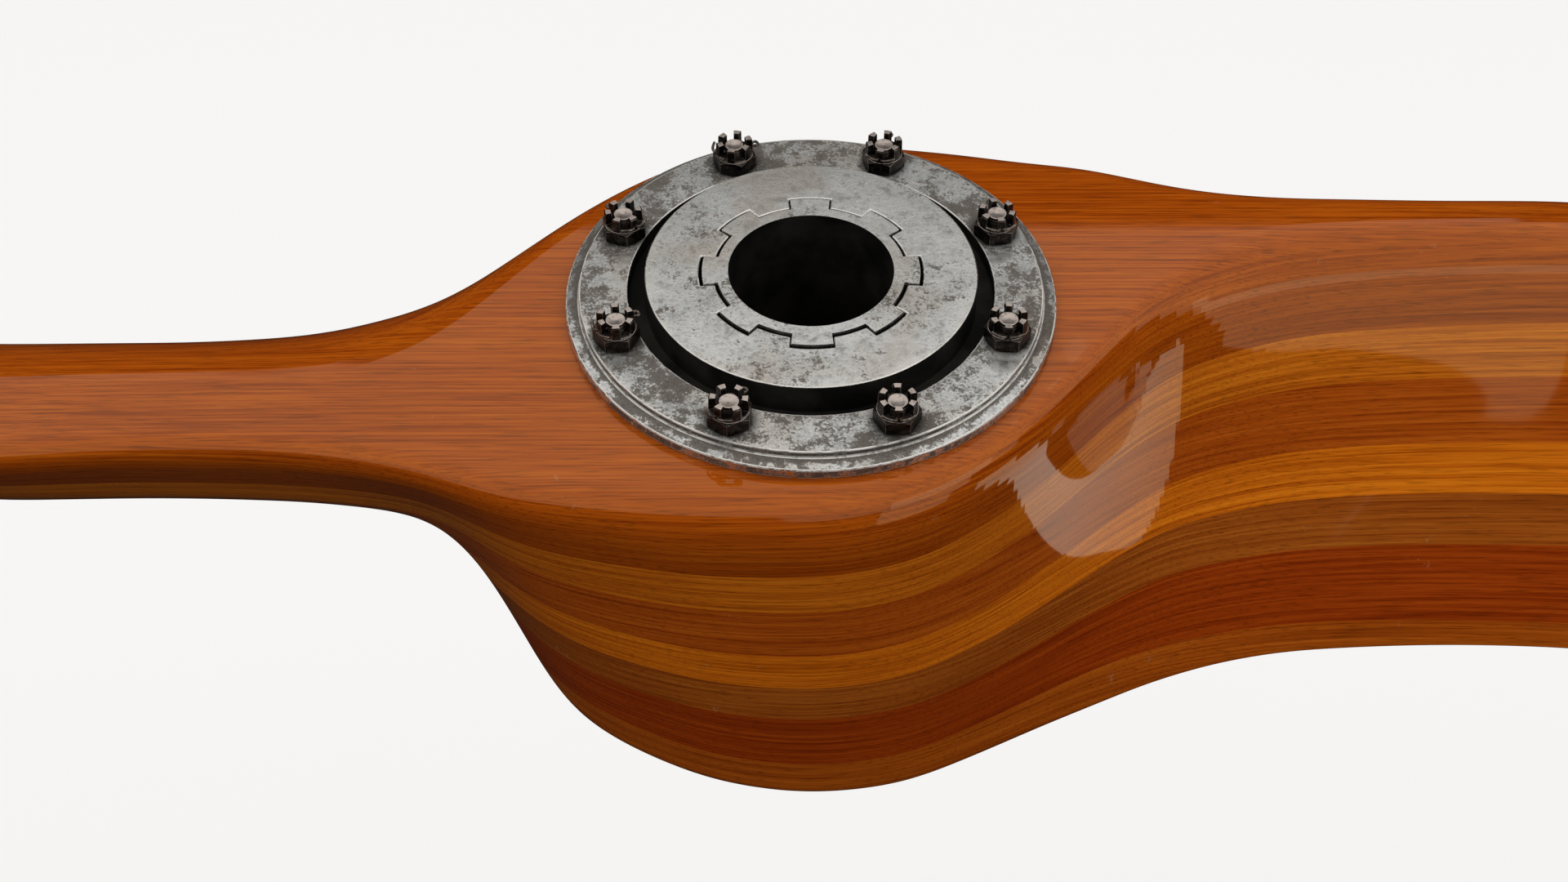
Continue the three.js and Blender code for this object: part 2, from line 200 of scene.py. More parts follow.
def soften_edges(obj, width_mm, segments=2, least_angle=28):
    """Rounds every sharp edge and marks the rounded strips for a painted highlight."""
    bm = bmesh.new()
    bm.from_mesh(obj.data)
    bmesh.ops.recalc_face_normals(bm, faces=bm.faces)
    painted_highlight = bm.faces.layers.float.new("painted_highlight")
    sharp = [e for e in bm.edges if e.is_manifold and e.calc_face_angle() > math.radians(least_angle)]
    made = bmesh.ops.bevel(
        bm, geom=sharp, offset=width_mm * MM, offset_type="OFFSET", segments=segments,
        profile=0.5, affect="EDGES", clamp_overlap=True,
    )
    for face in made["faces"]:
        if face.is_valid:
            face[painted_highlight] = 1.0
    for face in bm.faces:
        face.smooth = True
    bm.to_mesh(obj.data)
    bm.free()
    weighted = obj.modifiers.new("even normals", "WEIGHTED_NORMAL")
    weighted.weight = 90


def paint_top_highlight(mesh, above_mm, level_from=0.9, highlight_level=0.8):
    """Marks the level faces above a height, the tops, for a painted highlight."""
    painted_highlight = mesh.attributes["painted_highlight"].data
    for polygon in mesh.polygons:
        if polygon.center.z > above_mm * MM and polygon.normal.z > level_from:
            painted_highlight[polygon.index].value = highlight_level


def settle(obj, node, material):
    """Rides the piece on the propeller's one body, in place of its frame node."""
    obj.data.materials.clear()
    obj.data.materials.append(material)
    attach(obj, "root")
    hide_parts(node)


# ---- the carved wood ----
# Distance from the axis, then the corners of the section there in the Y-Z plane, as (y, height above the
# wood's rear face): the leading edge's front, the front face's crest, the trailing edge and the leading
# edge's rear. Then how far each corner is rounded back, and how far the side from the crest to the trailing
# edge hollows in.
BOSS_STATIONS = [
    (0, (124, 162), (-124, 162), (-151, 0), (151, 0), (20, 20, 6, 6), 0),
    (36, (122, 162), (-117, 162), (-147, 0), (146, 0), (20, 20, 6, 6), 0),
    (72, (117, 162), (-96, 162), (-132, 0), (131, 0), (18, 18, 6, 6), 0),
    (108, (110, 162), (-61, 162), (-114, 0), (107, 0), (16, 16, 6, 8), 0),
    (126, (107, 162), (-39, 162), (-106, 0), (85, 2), (16, 16, 7, 14), 0),
    (137, (103, 162), (-28, 162), (-102, 1), (75, 42), (16, 18, 7, 14), 0),
    (149, (98, 162), (-16, 162), (-97, 2), (74, 76), (16, 20, 8, 15), 1),
    (166, (92, 162), (-3, 162), (-91, 3), (73, 96), (16, 22, 8, 16), 2),
    (190, (86, 162), (8, 162), (-85, 5), (72, 102), (16, 24, 9, 16), 2),
    (230, (83, 162), (19, 162), (-79, 6), (70, 105), (16, 26, 10, 16), 2),
    (288, (83, 161), (25, 162), (-77, 7), (69, 106), (16, 26, 10, 16), 2),
    (352, (85, 159), (27, 161), (-79, 8), (69, 105), (16, 26, 9, 16), 2),
]
# Outer blade: radius, chord, thickness, and the crest's place along the chord from the leading edge.
OUTER_STATIONS = [
    (480, 212, 46, 0.22), (640, 226, 35, 0.30), (820, 230, 26, 0.33), (980, 216, 19, 0.34),
    (1110, 182, 14, 0.35), (1190, 138, 10.5, 0.36), (1232, 88, 8, 0.38), (TIP_R, 30, 6, 0.42),
]
GEOMETRIC_PITCH = 2400
AXIS_ALONG_CHORD = 0.42
SPAN_STEP = 1
# How far the carver left each edge of the front face towards +Y, against the distance from the axis. The
# front edge is the one above the leading edge, and the crest edge is the other. Past the last distance an
# edge stays where it is.
RIGHT_FRONT_LEAN = ((0, -4), (72, -6), (108, -7), (150, -4), (190, -4), (230, -5), (352, -6), (640, 0))
RIGHT_CREST_LEAN = ((0, -7), (36, -6), (72, -4), (108, -1), (150, 6), (220, 11), (360, 12), (640, 0))
LEFT_FRONT_LEAN = ((0, -7), (72, -12), (108, -14), (190, -14), (260, -10), (352, -12), (640, 0))
LEFT_CREST_LEAN = ((0, -4), (36, -2), (90, 1), (135, 10), (185, 9), (240, 8), (345, 13), (640, 0))
# How much further the crest edge of the left-hand blade is rounded back.
LEFT_CREST_EASING = ((0, 0), (100, 0), (160, 16), (352, 18), (640, 0))
SMOOTHING = 12  # how far along the span the carver's tool blends one section into the next
SMOOTHED_TO = 900  # past this distance from the axis the blending fades out,
SMOOTHING_FADE = 200  # over this length, so that the tips keep their outline
# Runs of the mesh's sections along a blade: where a run starts, where it ends, and how far apart they are.
TIP_LENGTH = 70
SECTION_RUNS = (
    (0, 200, 2), (200, 400, 6), (400, TIP_R - TIP_LENGTH, 18), (TIP_R - TIP_LENGTH, TIP_R + 1, 5),
)
CORNER_STEPS = 12
SIDE_STEPS = 60
SMOOTH_FROM = 0.6  # how well a face has to agree with the carved normal, as a cosine, to be shaded with it


def outer_station(x, chord, thick, crest_at):
    """A station of the outer blade: an aerofoil whose corners are shares of its chord and its thickness."""
    angle = math.atan2(GEOMETRIC_PITCH, 2 * math.pi * x)
    lead = np.array([math.cos(angle), math.sin(angle)])
    front = np.array([-math.sin(angle), math.cos(angle)])
    axis = np.array([0, BLOCK / 2])

    def at(back, up):
        return axis + (AXIS_ALONG_CHORD * chord - back) * lead + up * front

    corners = (at(0, 0.42 * thick), at(crest_at * chord, 1.04 * thick), at(chord, 0),
               at(0.005 * chord, -0.06 * thick))
    cuts = (0.2 * thick, 0.14 * chord, 0.05 * thick + 1, 0.2 * thick)
    return (x, *corners, cuts, 0)


def lean_at(table, x):
    distances, leans = zip(*table)
    return float(np.interp(x, distances, leans))


def station_rows():
    """Every station along both blades as rows of x, eight corner values, four cuts and the two hollows."""
    rows = []
    for x, *corners, cuts, hollow in BOSS_STATIONS + [outer_station(*s) for s in OUTER_STATIONS]:
        right = (lean_at(RIGHT_FRONT_LEAN, x), lean_at(RIGHT_CREST_LEAN, x), 0, 0)
        flat = [value for (y, h), shift in zip(corners, right) for value in (y + shift, h)]
        rows.append([x, *flat, *cuts, hollow, 0])
        if x > 0:
            turned = [(-y, h) for y, h in (corners[i] for i in (1, 0, 3, 2))]
            left = (lean_at(LEFT_CREST_LEAN, x), lean_at(LEFT_FRONT_LEAN, x), 0, 0)
            flat = [value for (y, h), shift in zip(turned, left) for value in (y + shift, h)]
            eased = [cuts[1] + lean_at(LEFT_CREST_EASING, x), cuts[0], cuts[3], cuts[2]]
            rows.append([-x, *flat, *eased, 0, hollow])
    return np.array(sorted(rows, key=lambda row: row[0]))


def smooth_tracks(rows, xs):
    """Each column as a function of x: a cubic that never overshoots, then blended along the span."""
    x0, values = rows[:, 0], rows[:, 1:]
    secants = np.diff(values, axis=0) / np.diff(x0)[:, None]
    before = np.vstack([secants[:1], secants])
    after = np.vstack([secants, secants[-1:]])
    total = np.where(before + after == 0, 1, before + after)
    slopes = np.where(before * after <= 0, 0, 2 * before * after / total)
    k = np.clip(np.searchsorted(x0, xs, side="right") - 1, 0, len(x0) - 2)
    step = (x0[k + 1] - x0[k])[:, None]
    t = ((xs - x0[k]) / (x0[k + 1] - x0[k]))[:, None]
    rest = 1 - t
    tracks = (values[k] * (1 + 2 * t) * rest ** 2 + values[k + 1] * (3 - 2 * t) * t ** 2
              + step * (slopes[k] * t * rest ** 2 - slopes[k + 1] * t ** 2 * rest))
    reach = np.arange(-4 * SMOOTHING, 4 * SMOOTHING + SPAN_STEP, SPAN_STEP)
    weights = np.exp(-0.5 * (reach / SMOOTHING) ** 2)
    weights /= weights.sum()
    padded = np.pad(tracks, ((len(reach) // 2,) * 2, (0, 0)), mode="edge")
    blended = np.stack([np.convolve(column, weights, mode="valid") for column in padded.T], axis=1)
    keep = np.clip((np.abs(xs) - SMOOTHED_TO) / SMOOTHING_FADE, 0, 1)[:, None]
    return tracks * keep + blended * (1 - keep)


def section_rings(tracks):
    """Outlines of the sections: parabolas at the corners and, between them, sides that may hollow in."""
    corners = tracks[:, :8].reshape(-1, 4, 2)
    cuts = tracks[:, 8:12]
    hollows = {1: tracks[:, 12], 3: tracks[:, 13]}
    starts, ends = [], []
    for i in range(4):
        for store, other in ((starts, (i + 3) % 4), (ends, (i + 1) % 4)):
            run = corners[:, other] - corners[:, i]
            share = np.minimum(cuts[:, i] / np.linalg.norm(run, axis=1), 0.45)
            store.append(corners[:, i] + run * share[:, None])
    points = []
    for i in range(4):
        for t in np.linspace(0, 1, CORNER_STEPS + 1):
            points.append(starts[i] * (1 - t) ** 2 + corners[:, i] * 2 * t * (1 - t) + ends[i] * t ** 2)
        run = starts[(i + 1) % 4] - ends[i]
        inward = np.stack([-run[:, 1], run[:, 0]], axis=1) / np.linalg.norm(run, axis=1)[:, None]
        depth = hollows.get(i, np.zeros(len(run)))
        for t in np.arange(1, SIDE_STEPS) / SIDE_STEPS:
            bow = 16 * t ** 2 * (1 - t) ** 2
            points.append(ends[i] + run * t + inward * (depth * bow)[:, None])
    return np.stack(points, axis=1)


def carved_blank():
    """The whole propeller's wood as one mesh, with its smooth normals kept on the points."""
    fine = np.arange(-TIP_R, TIP_R + SPAN_STEP, SPAN_STEP)
    tracks = smooth_tracks(station_rows(), fine)
    half = np.concatenate([np.arange(*run) for run in SECTION_RUNS])
    xs = np.concatenate([-half[:0:-1], half])
    picked = np.stack([np.interp(xs, fine, column) for column in tracks.T], axis=1)
    outline = section_rings(picked)
    rows, around = outline.shape[:2]
    points = np.empty((rows, around, 3))
    points[..., 0] = xs[:, None]
    points[..., 1] = outline[..., 0]
    points[..., 2] = outline[..., 1] + WOOD_REAR_Z
    along = np.gradient(points, axis=0)
    about = np.roll(points, -1, axis=1) - np.roll(points, 1, axis=1)
    normals = np.cross(about, along)
    normals /= np.linalg.norm(normals, axis=2)[..., None]
    faces = [quad[::-1] for quad in grid_faces(rows, around, False)]
    faces.append(tuple(range(around)))
    faces.append(tuple(rows * around - 1 - i for i in range(around)))
    mesh = mesh_of("blank", points.reshape(-1, 3), faces)
    kept = mesh.attributes.new("carved", "FLOAT_VECTOR", "POINT")
    kept.data.foreach_set("vector", normals.reshape(-1))
    return mesh


def sawn_board(blank, z_low, z_high):
    """The part of the blank between two level cuts."""
    bm = bmesh.new()
    bm.from_mesh(blank)
    flat = bm.faces.layers.int.new("flat")
    for z, normal in ((z_low, -1), (z_high, 1)):
        if z <= WOOD_REAR_Z + HAIR or z >= WOOD_FRONT_Z - HAIR:
            continue
        done = bmesh.ops.bisect_plane(
            bm, geom=bm.verts[:] + bm.edges[:] + bm.faces[:], dist=1e-7,
            plane_co=(0, 0, z * MM), plane_no=(0, 0, normal), clear_outer=True,
        )
        rim = [e for e in done["geom_cut"] if isinstance(e, bmesh.types.BMEdge)]
        filled = bmesh.ops.triangle_fill(bm, edges=rim, use_beauty=True)
        for face in filled["geom"]:
            if isinstance(face, bmesh.types.BMFace):
                face[flat] = 1
    bmesh.ops.recalc_face_normals(bm, faces=bm.faces)
    mesh = bpy.data.meshes.new("board")
    bm.to_mesh(mesh)
    bm.free()
    return mesh


def keep_carved_normals(mesh):
    """Shades the carved faces with the blank's normals, so that gloss runs on from board to board."""
    carved = np.empty(len(mesh.vertices) * 3, np.float32)
    mesh.attributes["carved"].data.foreach_get("vector", carved)
    carved = carved.reshape(-1, 3)
    vertex = np.empty(len(mesh.loops), np.int32)
    mesh.loops.foreach_get("vertex_index", vertex)
    flat = np.empty(len(mesh.polygons), np.int32)
    mesh.attributes["flat"].data.foreach_get("value", flat)
    face_normal = np.empty(len(mesh.polygons) * 3, np.float32)
    mesh.polygons.foreach_get("normal", face_normal)
    face_normal = face_normal.reshape(-1, 3)
    sizes = np.empty(len(mesh.polygons), np.int32)
    mesh.polygons.foreach_get("loop_total", sizes)
    owner = np.repeat(np.arange(len(sizes)), sizes)
    smooth = carved[vertex]
    agrees = (smooth * face_normal[owner]).sum(axis=1) > SMOOTH_FROM
    use = agrees & (flat[owner] == 0)
    normals = np.where(use[:, None], smooth, face_normal[owner])
    mesh.polygons.foreach_set("use_smooth", np.ones(len(sizes), bool))
    mesh.normals_split_custom_set(normals.tolist())


# ---- materials ----
class Shader:
    """A material's nodes, written one call per node."""

    def __init__(self, name):
        self.material = bpy.data.materials.new(name)
        self.material.use_nodes = True
        self.tree = self.material.node_tree
        self.principled = self.tree.nodes["Principled BSDF"]
        self.place = self.add("ShaderNodeTexCoord").outputs["Object"]

    def add(self, kind, inputs=None, **settings):
        node = self.tree.nodes.new(kind)
        for key, value in settings.items():
            setattr(node, key, value)
        for key, value in (inputs or {}).items():
            self.set(node.inputs[key], value)
        return node

    def set(self, socket, value):
        if isinstance(value, bpy.types.NodeSocket):
            self.tree.links.new(value, socket)
        else:
            socket.default_value = value

    def shade(self, **inputs):
        for key, value in inputs.items():
            self.set(self.principled.inputs[key.replace("_", " ")], value)

    def stretched(self, scale, turn=(0, 0, 0), shift=(0, 0, 0)):
        """The place on the piece, turned and shifted and then scaled along each axis."""
        mapping = self.add("ShaderNodeMapping", {"Vector": self.place, "Rotation": turn, "Location": shift})
        scaled = self.add("ShaderNodeVectorMath", {0: mapping.outputs[0], 1: scale}, operation="MULTIPLY")
        return scaled.outputs[0]

    def noise(self, vector, scale=1.0, detail=2.0, roughness=0.5):
        node = self.add("ShaderNodeTexNoise", {
            "Vector": vector, "Scale": scale, "Detail": detail, "Roughness": roughness,
        })
        return node.outputs[0]

    def ramp(self, value, stops):
        """Maps a value to numbers or colours: stops are (position, number or colour)."""
        node = self.add("ShaderNodeValToRGB", {0: value})
        elements = node.color_ramp.elements
        while len(elements) < len(stops):
            elements.new(0.5)
        for element, (position, level) in zip(elements, stops):
            element.position = position
            element.color = (*level, 1) if isinstance(level, tuple) else (level, level, level, 1)
        return node.outputs[0]

    def math(self, operation, a, b=0.0):
        return self.add("ShaderNodeMath", {0: a, 1: b}, operation=operation).outputs[0]

    def length(self, a, b):
        return self.math("SQRT", self.math("ADD", self.math("MULTIPLY", a, a), self.math("MULTIPLY", b, b)))

    def within(self, value, least, most):
        """1 where a value is between two limits, else 0."""
        above = self.math("GREATER_THAN", value, least)
        return self.math("MULTIPLY", above, self.math("LESS_THAN", value, most))

    def total(self, *terms):
        """The sum of values, each of them times its share."""
        parts = [self.math("MULTIPLY", value, share) for value, share in terms]
        result = parts[0]
        for part in parts[1:]:
            result = self.math("ADD", result, part)
        return result

    def mix(self, factor, a, b, blend="MIX"):
        node = self.add("ShaderNodeMix", data_type="RGBA", blend_type=blend)
        self.set(node.inputs[0], factor)
        self.set(node.inputs[6], (*a, 1) if isinstance(a, tuple) else a)
        self.set(node.inputs[7], (*b, 1) if isinstance(b, tuple) else b)
        return node.outputs[2]

    def blend(self, factor, a, b):
        node = self.add("ShaderNodeMix", data_type="FLOAT")
        self.set(node.inputs[0], factor)
        self.set(node.inputs[2], a)
        self.set(node.inputs[3], b)
        return node.outputs[0]

    def bump(self, height, strength, distance_mm, normal=None):
        inputs = {"Height": height, "Strength": strength, "Distance": distance_mm * MM}
        if normal is not None:
            inputs["Normal"] = normal
        return self.add("ShaderNodeBump", inputs).outputs[0]


def varnished_wood(name, tone, seed):
    """Fine straight-grained wood under clear varnish. Its growth layers lie nearly level in the board."""
    s = Shader(name)
    shift = (0.37 * seed, 0.11 * seed, 0.053 * seed)
    turn = (math.radians(4 + 3 * math.sin(seed)), 0, 0)
    sway = s.math("SUBTRACT", s.noise(s.stretched((3, 8, 8), shift=shift), detail=2), 0.5)
    sway = s.add("ShaderNodeVectorMath", {0: sway, 1: (0, 2.0, 3.0)}, operation="MULTIPLY").outputs[0]

    def along_grain(scale):
        at = s.stretched(scale, turn, shift)
        return s.add("ShaderNodeVectorMath", {0: at, 1: sway}, operation="ADD").outputs[0]

    # On a level face the fibres show, and on a sloping one the growth layers that it cuts through.
    level = s.add("ShaderNodeSeparateXYZ", {0: s.add("ShaderNodeNewGeometry").outputs["Normal"]}).outputs[2]
    level = s.ramp(s.math("ABSOLUTE", level), [(0.88, 0.0), (0.99, 1.0)])
    fibres = s.noise(along_grain((9, 760, 420)), detail=3, roughness=0.7)
    layers = s.noise(along_grain((6, 20, 800)), detail=4, roughness=0.72)
    thick_layers = s.noise(along_grain((4, 11, 240)), detail=2, roughness=0.5)
    broad = s.noise(along_grain((2.2, 17, 60)), detail=3, roughness=0.55)
    pores = s.noise(along_grain((46, 1100, 1700)), detail=2, roughness=0.6)
    figure = s.total((s.blend(level, layers, fibres), 0.76), (thick_layers, 0.09), (broad, 0.15))
    dark = (tone[0] * 0.66, tone[1] * 0.55, tone[2] * 0.5)
    light = (tone[0] * 1.26, tone[1] * 1.50, tone[2] * 1.6)
    colour = s.ramp(figure, [(0.38, dark), (0.5, tone), (0.62, light)])
    colour = s.mix(1.0, colour, s.ramp(pores, [(0.34, 0.66), (0.46, 1.0)]), "MULTIPLY")
    # Small nicks go through the varnish in the places where it is rubbed.
    rubbed = s.noise(s.stretched((30, 46, 46), shift=shift), detail=5, roughness=0.7)
    rubbed = s.ramp(rubbed, [(0.62, 0.0), (0.70, 1.0)])
    nicks = s.noise(s.stretched((260, 190, 190), shift=shift), detail=4, roughness=0.7)
    nicks = s.math("MULTIPLY", s.ramp(nicks, [(0.57, 0.0), (0.63, 1.0)]), rubbed)
    colour = s.mix(s.math("MULTIPLY", nicks, 0.22), colour, (0.42, 0.27, 0.13))
    s.shade(
        Base_Color=colour,
        Roughness=s.blend(nicks, 0.035, 0.45),
        Specular_IOR_Level=0.6,
        Specular_Tint=(1.0, 0.74, 0.36, 1.0),
        Coat_Weight=0.2,
        Coat_Roughness=0.03,
    )
    return s.material


def steel_places(s):
    """Distances from the shaft's axis and from the nearest bolt's axis, and the height, in millimetres."""
    spread = s.add("ShaderNodeSeparateXYZ", {0: s.place})
    x, y, z = (s.math("DIVIDE", spread.outputs[i], MM) for i in range(3))
    radius = s.length(x, y)
    turn = s.math("FLOORED_MODULO", s.math("ARCTAN2", y, x), 2 * math.pi / BOLT_COUNT)
    turn = s.math("SUBTRACT", turn, math.pi / BOLT_COUNT)
    beyond = s.math("SUBTRACT", s.math("MULTIPLY", radius, s.math("COSINE", turn)), float(BOLT_CIRCLE_R))
    aside = s.math("MULTIPLY", radius, s.math("SINE", turn))
    return radius, s.length(beyond, aside), z


def painted_shade_places(s, radius, from_bolt, z, clouds):
    """Where painted shade darkens the steel: a painted shadow round the nuts, and near black in the groove,
    the bore and between the splines.
    """
    skin = 0.12  # takes in the faces that lie at a limit
    from_nut = s.math("SUBTRACT", from_bolt, s.math("MULTIPLY", clouds, 3.0))
    shadow_round_nuts = s.ramp(s.math("DIVIDE", from_nut, 20.0), [(0.38, 1.0), (0.66, 0.0)])
    in_front = s.ramp(s.math("DIVIDE", z, 200.0), [(0.85, 0.0), (0.87, 1.0)])
    painted_shade = s.math("MULTIPLY", s.math("MULTIPLY", shadow_round_nuts, in_front), 0.92)
    in_groove = s.within(radius, GROOVE_INNER_R - skin, GROOVE_OUTER_R + skin)
    in_groove = s.math("MULTIPLY", in_groove, s.math("GREATER_THAN", z, WOOD_FRONT_Z + 1.0))
    in_bore = s.math("LESS_THAN", radius, BORE_R + skin)
    in_splines = s.within(radius, TOOTH_ROOT_R - 1.5, TOOTH_TIP_R + SPLINE_TIP_GAP + 0.1)
    in_splines = s.math("MULTIPLY", in_splines, s.math("LESS_THAN", z, NOSE_Z - 1.6))
    for place in (in_groove, in_bore, in_splines):
        painted_shade = s.math("MAXIMUM", painted_shade, place)
    return painted_shade


def worn_steel(name):
    """Bare forged steel: cloudy grey with brown stains, painted shade near black in recesses and round the
    nuts, a ring of painted shade at the rim's step, and painted highlights along edges.
    """
    s = Shader(name)
    radius, from_bolt, z = steel_places(s)
    clouds = s.noise(s.place, scale=30, detail=5, roughness=0.6)
    blotches = s.noise(s.stretched((1, 1, 1), shift=(3, 1, 2)), scale=150, detail=7, roughness=0.74)
    streaks = s.noise(s.stretched((340, 1500, 1500), (0.3, 0.2, 0.5)), detail=3, roughness=0.6)
    grain = s.noise(s.place, scale=800, detail=4, roughness=0.7)
    warmth = s.noise(s.stretched((1, 1, 1), shift=(7, 2, 5)), scale=21, detail=3, roughness=0.5)

    def near(at, reach):
        """1 at one distance from the shaft's axis, falling to 0 at a reach to either side of it."""
        gap = s.math("ABSOLUTE", s.math("SUBTRACT", radius, at))
        return s.math("MAXIMUM", s.math("SUBTRACT", 1.0, s.math("DIVIDE", gap, reach)), 0.0)

    metal = s.ramp(blotches, [
        (0.36, (0.50, 0.51, 0.51)), (0.48, (0.86, 0.89, 0.90)), (0.60, (0.93, 0.95, 0.95)),
    ])
    metal = s.mix(s.ramp(warmth, [(0.50, 0.0), (0.66, 0.45)]), metal, (0.58, 0.48, 0.38))
    # Painted highlights: lighter bands along the face's edge by the groove and along the outer edge of the
    # land.
    edges = s.math("MAXIMUM", near(GROOVE_INNER_R - 1, 3.0), near(LAND_R - 1, 2.5))
    metal = s.mix(s.math("MULTIPLY", edges, 0.5), metal, (0.93, 0.92, 0.89))

    on_land = s.ramp(s.math("DIVIDE", radius, 100.0), [(0.79, 0.0), (0.81, 1.0)])
    # The stains take in a darker ring at the step from the land up to the rim, which is painted shade.
    stains_and_step_shade = s.total(
        (clouds, 0.45), (blotches, 0.55), (s.math("SUBTRACT", grain, 0.5), 0.30),
        (on_land, 0.080), (near(LAND_R + 1.2, 2.2), 0.10),
    )
    stains_and_step_shade = s.ramp(stains_and_step_shade, [(0.53, 0.0), (0.60, 1.0)])
    pits = s.ramp(streaks, [(0.60, 0.0), (0.66, 1.0)])
    pits = s.math("MULTIPLY", pits, s.ramp(clouds, [(0.44, 0.0), (0.56, 1.0)]))
    dirt_and_step_shade = s.math("MAXIMUM", s.math("MULTIPLY", stains_and_step_shade, 0.92), s.math("MULTIPLY", pits, 0.75))
    soil = s.ramp(grain, [(0.36, (0.050, 0.043, 0.036)), (0.62, (0.17, 0.145, 0.120))])
    colour = s.mix(dirt_and_step_shade, metal, soil)

    # Painted highlights on the rounded edges marked in the mesh.
    painted_highlight = s.add("ShaderNodeAttribute", attribute_name="painted_highlight").outputs["Fac"]
    bright = s.math("MULTIPLY", painted_highlight, s.ramp(blotches, [(0.38, 0.25), (0.50, 1.0)]))
    colour = s.mix(bright, colour, (0.95, 0.94, 0.91))
    # Painted shade: near black in the groove, the bore and between the splines, and a painted shadow round
    # the nuts.
    painted_shade = painted_shade_places(s, radius, from_bolt, z, clouds)
    painted_shade_colour = s.ramp(clouds, [(0.44, (0.0015, 0.0013, 0.001)), (0.62, (0.016, 0.013, 0.010))])
    colour = s.mix(painted_shade, colour, painted_shade_colour)

    height = s.math("SUBTRACT", blotches, s.math("MULTIPLY", pits, 0.30))
    rough = s.blend(dirt_and_step_shade, s.ramp(blotches, [(0.35, 0.34), (0.65, 0.22)]), 0.55)
    s.shade(
        Base_Color=colour,
        Metallic=s.blend(painted_shade, s.blend(dirt_and_step_shade, 1.0, 0.7), 0.0),
        Roughness=s.blend(painted_shade, rough, 0.75),
        Specular_IOR_Level=0.25,
        Normal=s.bump(height, 0.35, 0.30, s.bump(grain, 0.10, 0.05)),
    )
    return s.material


def dark_steel(name, base, edge):
    """Oil-blackened steel with painted highlights on its rounded edges and level tops."""
    s = Shader(name)
    mottle = s.noise(s.place, scale=420, detail=5, roughness=0.65)
    fine = s.noise(s.place, scale=1900, detail=2, roughness=0.6)
    deep = tuple(c * 0.4 for c in base)
    pale = tuple(c * 2.4 for c in base)
    colour = s.ramp(mottle, [(0.36, deep), (0.52, base), (0.66, pale)])
    # Painted highlights, in the edge colour, on the rounded edges and level tops marked in the mesh.
    painted_highlight = s.add("ShaderNodeAttribute", attribute_name="painted_highlight").outputs["Fac"]
    bright = s.math("MULTIPLY", painted_highlight, s.ramp(mottle, [(0.34, 0.5), (0.48, 1.0)]))
    s.shade(
        Base_Color=s.mix(bright, colour, edge),
        Metallic=1.0,
        Roughness=s.blend(bright, s.ramp(mottle, [(0.3, 0.30), (0.7, 0.55)]), 0.28),
        Normal=s.bump(fine, 0.2, 0.05),
    )
    return s.material


# The middle tone of each board from the rear face to the front, and the seed of its grain.
BOARD_TONES = [
    ((0.330, 0.068, 0.0045), 3.1), ((0.255, 0.034, 0.0022), 5.7), ((0.285, 0.065, 0.0060), 8.2),
    ((0.530, 0.125, 0.0046), 11.9), ((0.340, 0.062, 0.0040), 14.3), ((0.460, 0.112, 0.0054), 17.8),
    ((0.295, 0.054, 0.0022), 25.1),
]


def make_boards():
    blank = new_object("blank", carved_blank())
    z_low, z_high = WOOD_REAR_Z - OVERSHOOT, WOOD_FRONT_Z + OVERSHOOT
    rods = bolt_rods(HOLE_R, z_low, z_high)
    rods.append((0, 0, WOOD_BORE_R, z_low, z_high))
    cut(blank, rods_mesh(rods, segments=48))
    for node, (tone, seed) in zip(BOARDS, BOARD_TONES):
        mesh = sawn_board(blank.data, low(node)[2], high(node)[2])
        keep_carved_normals(mesh)
        settle(new_object(f"carved_{node}", mesh), node, varnished_wood(f"wood_{node}", tone, seed))
    bpy.data.objects.remove(blank)


# ---- the steel hub ----
def tooth_ring(root_r, tip_r, gap, points=9):
    """Angles and radii round a ring of teeth, each flank moved outwards by gap."""
    pitch = 2 * math.pi / TEETH
    slope = math.radians(0.4)
    angles, radii = [], []
    for i in range(TEETH):
        middle = i * pitch
        tip_half = pitch / 4 + gap / tip_r
        root_half = pitch / 4 + gap / root_r
        for a in np.linspace(-tip_half + slope, tip_half - slope, points):
            angles.append(middle + a)
            radii.append(tip_r)
        for a in np.linspace(root_half + slope, pitch - root_half - slope, points):
            angles.append(middle + a)
            radii.append(root_r)
    return np.array(angles), np.array(radii)


def make_front_flange(material):
    base = WOOD_FRONT_Z
    angles, slots = tooth_ring(TOOTH_ROOT_R + SPLINE_TIP_GAP, TOOTH_TIP_R + SPLINE_TIP_GAP, SPLINE_FLANK_GAP)
    land_z = NUT_SEAT_Z
    groove_z = base + GROOVE_FLOOR
    rim_z = base + RIM_THICKNESS
    beyond_slots = GROOVE_INNER_R - 10
    profile = [
        (slots, base), (slots, FACE_Z), (beyond_slots, FACE_Z), (GROOVE_INNER_R, FACE_Z),
        (GROOVE_INNER_R, groove_z), (GROOVE_OUTER_R, groove_z), (GROOVE_OUTER_R, land_z), (LAND_R, land_z),
        (LAND_R, rim_z + RIM_INNER_RISE), (FLANGE_R, rim_z - RIM_OUTER_DROP), (FLANGE_R, base),
    ]
    rings = [ring(r, z, angles) for r, z in profile]
    obj = new_object("forged_flange", lathe_mesh("flange", rings, True))
    soften_edges(obj, width_mm=0.7, segments=3)
    cut(obj, rods_mesh(bolt_rods(HOLE_R, base - OVERSHOOT, FACE_Z), segments=24))
    settle(obj, "front_flange", material)


